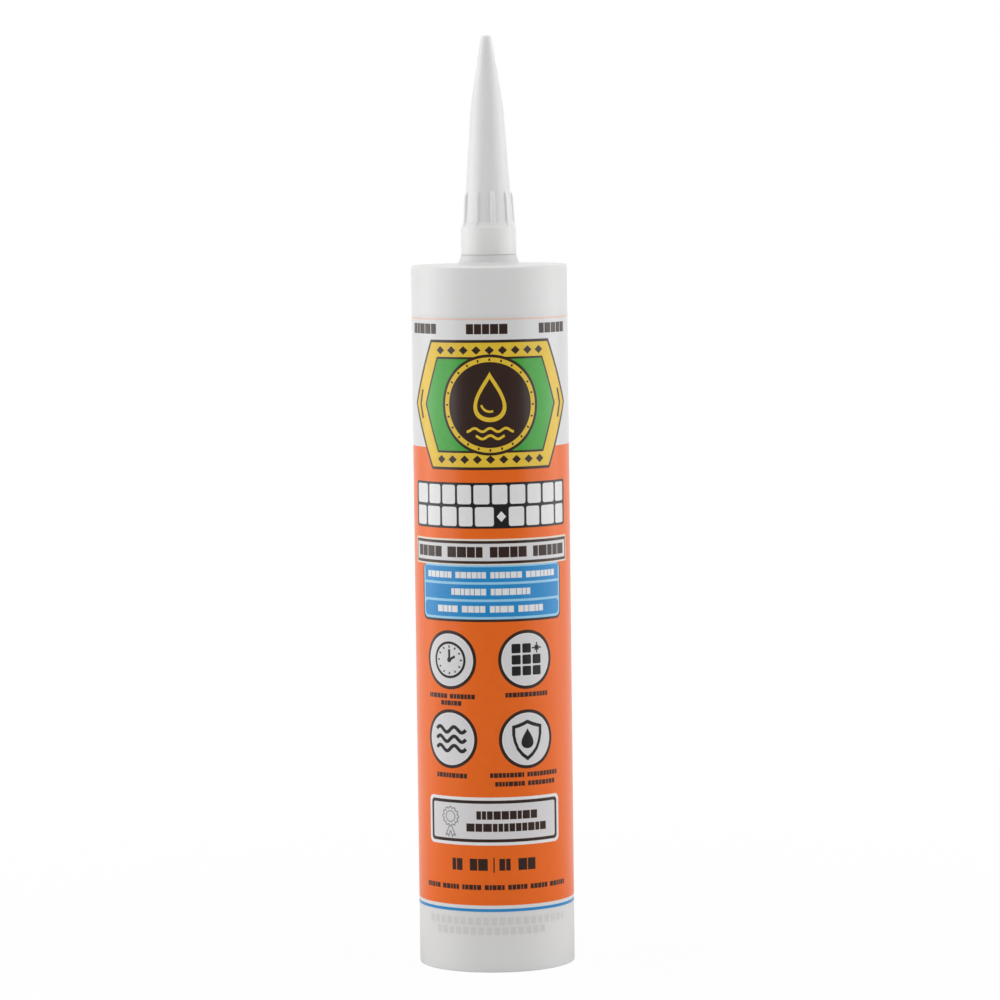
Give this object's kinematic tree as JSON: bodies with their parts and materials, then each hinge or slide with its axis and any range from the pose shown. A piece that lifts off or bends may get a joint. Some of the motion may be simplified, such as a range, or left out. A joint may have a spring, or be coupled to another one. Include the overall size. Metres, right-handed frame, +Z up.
{
  "type": "caulk tube",
  "caption": "Upright plastic caulk tube: straight barrel with a printed film, ribbed screw-on cone nozzle with a closed tip, and a push piston in the open rear end.",
  "frame": {"origin": "centre of the open rear rim, on the surface that the tube stands on", "axes": "+Z up along the tube's axis towards the nozzle's tip, -Y towards the printed front, +X to the right of the front"},
  "size_m": [0.0502, 0.0503, 0.2982],
  "materials": {
    "barrel_plastic": "semi-gloss white moulded polyethylene",
    "nozzle_plastic": "semi-gloss white moulded polyethylene",
    "piston_plastic": "matt white moulded polyethylene",
    "sealant_paste": "smooth white paste",
    "printed_film": "gloss printed film, mostly orange"
  },
  "bodies": {
    "barrel": {"barrel": "barrel_plastic", "label": "printed_film", "sealant": "sealant_paste"},
    "nozzle": {"nozzle": "nozzle_plastic"},
    "piston": {"piston": "piston_plastic"}
  },
  "joints": [
    {"name": "nozzle_lift", "type": "slide", "parent": "barrel", "child": "nozzle", "axis": [0, 0, 1], "range_m": [0, 0.025]},
    {"name": "piston_travel", "type": "slide", "parent": "barrel", "child": "piston", "axis": [0, 0, 1], "range_m": [0, 0.172], "deforming": ["sealant"]}
  ]
}
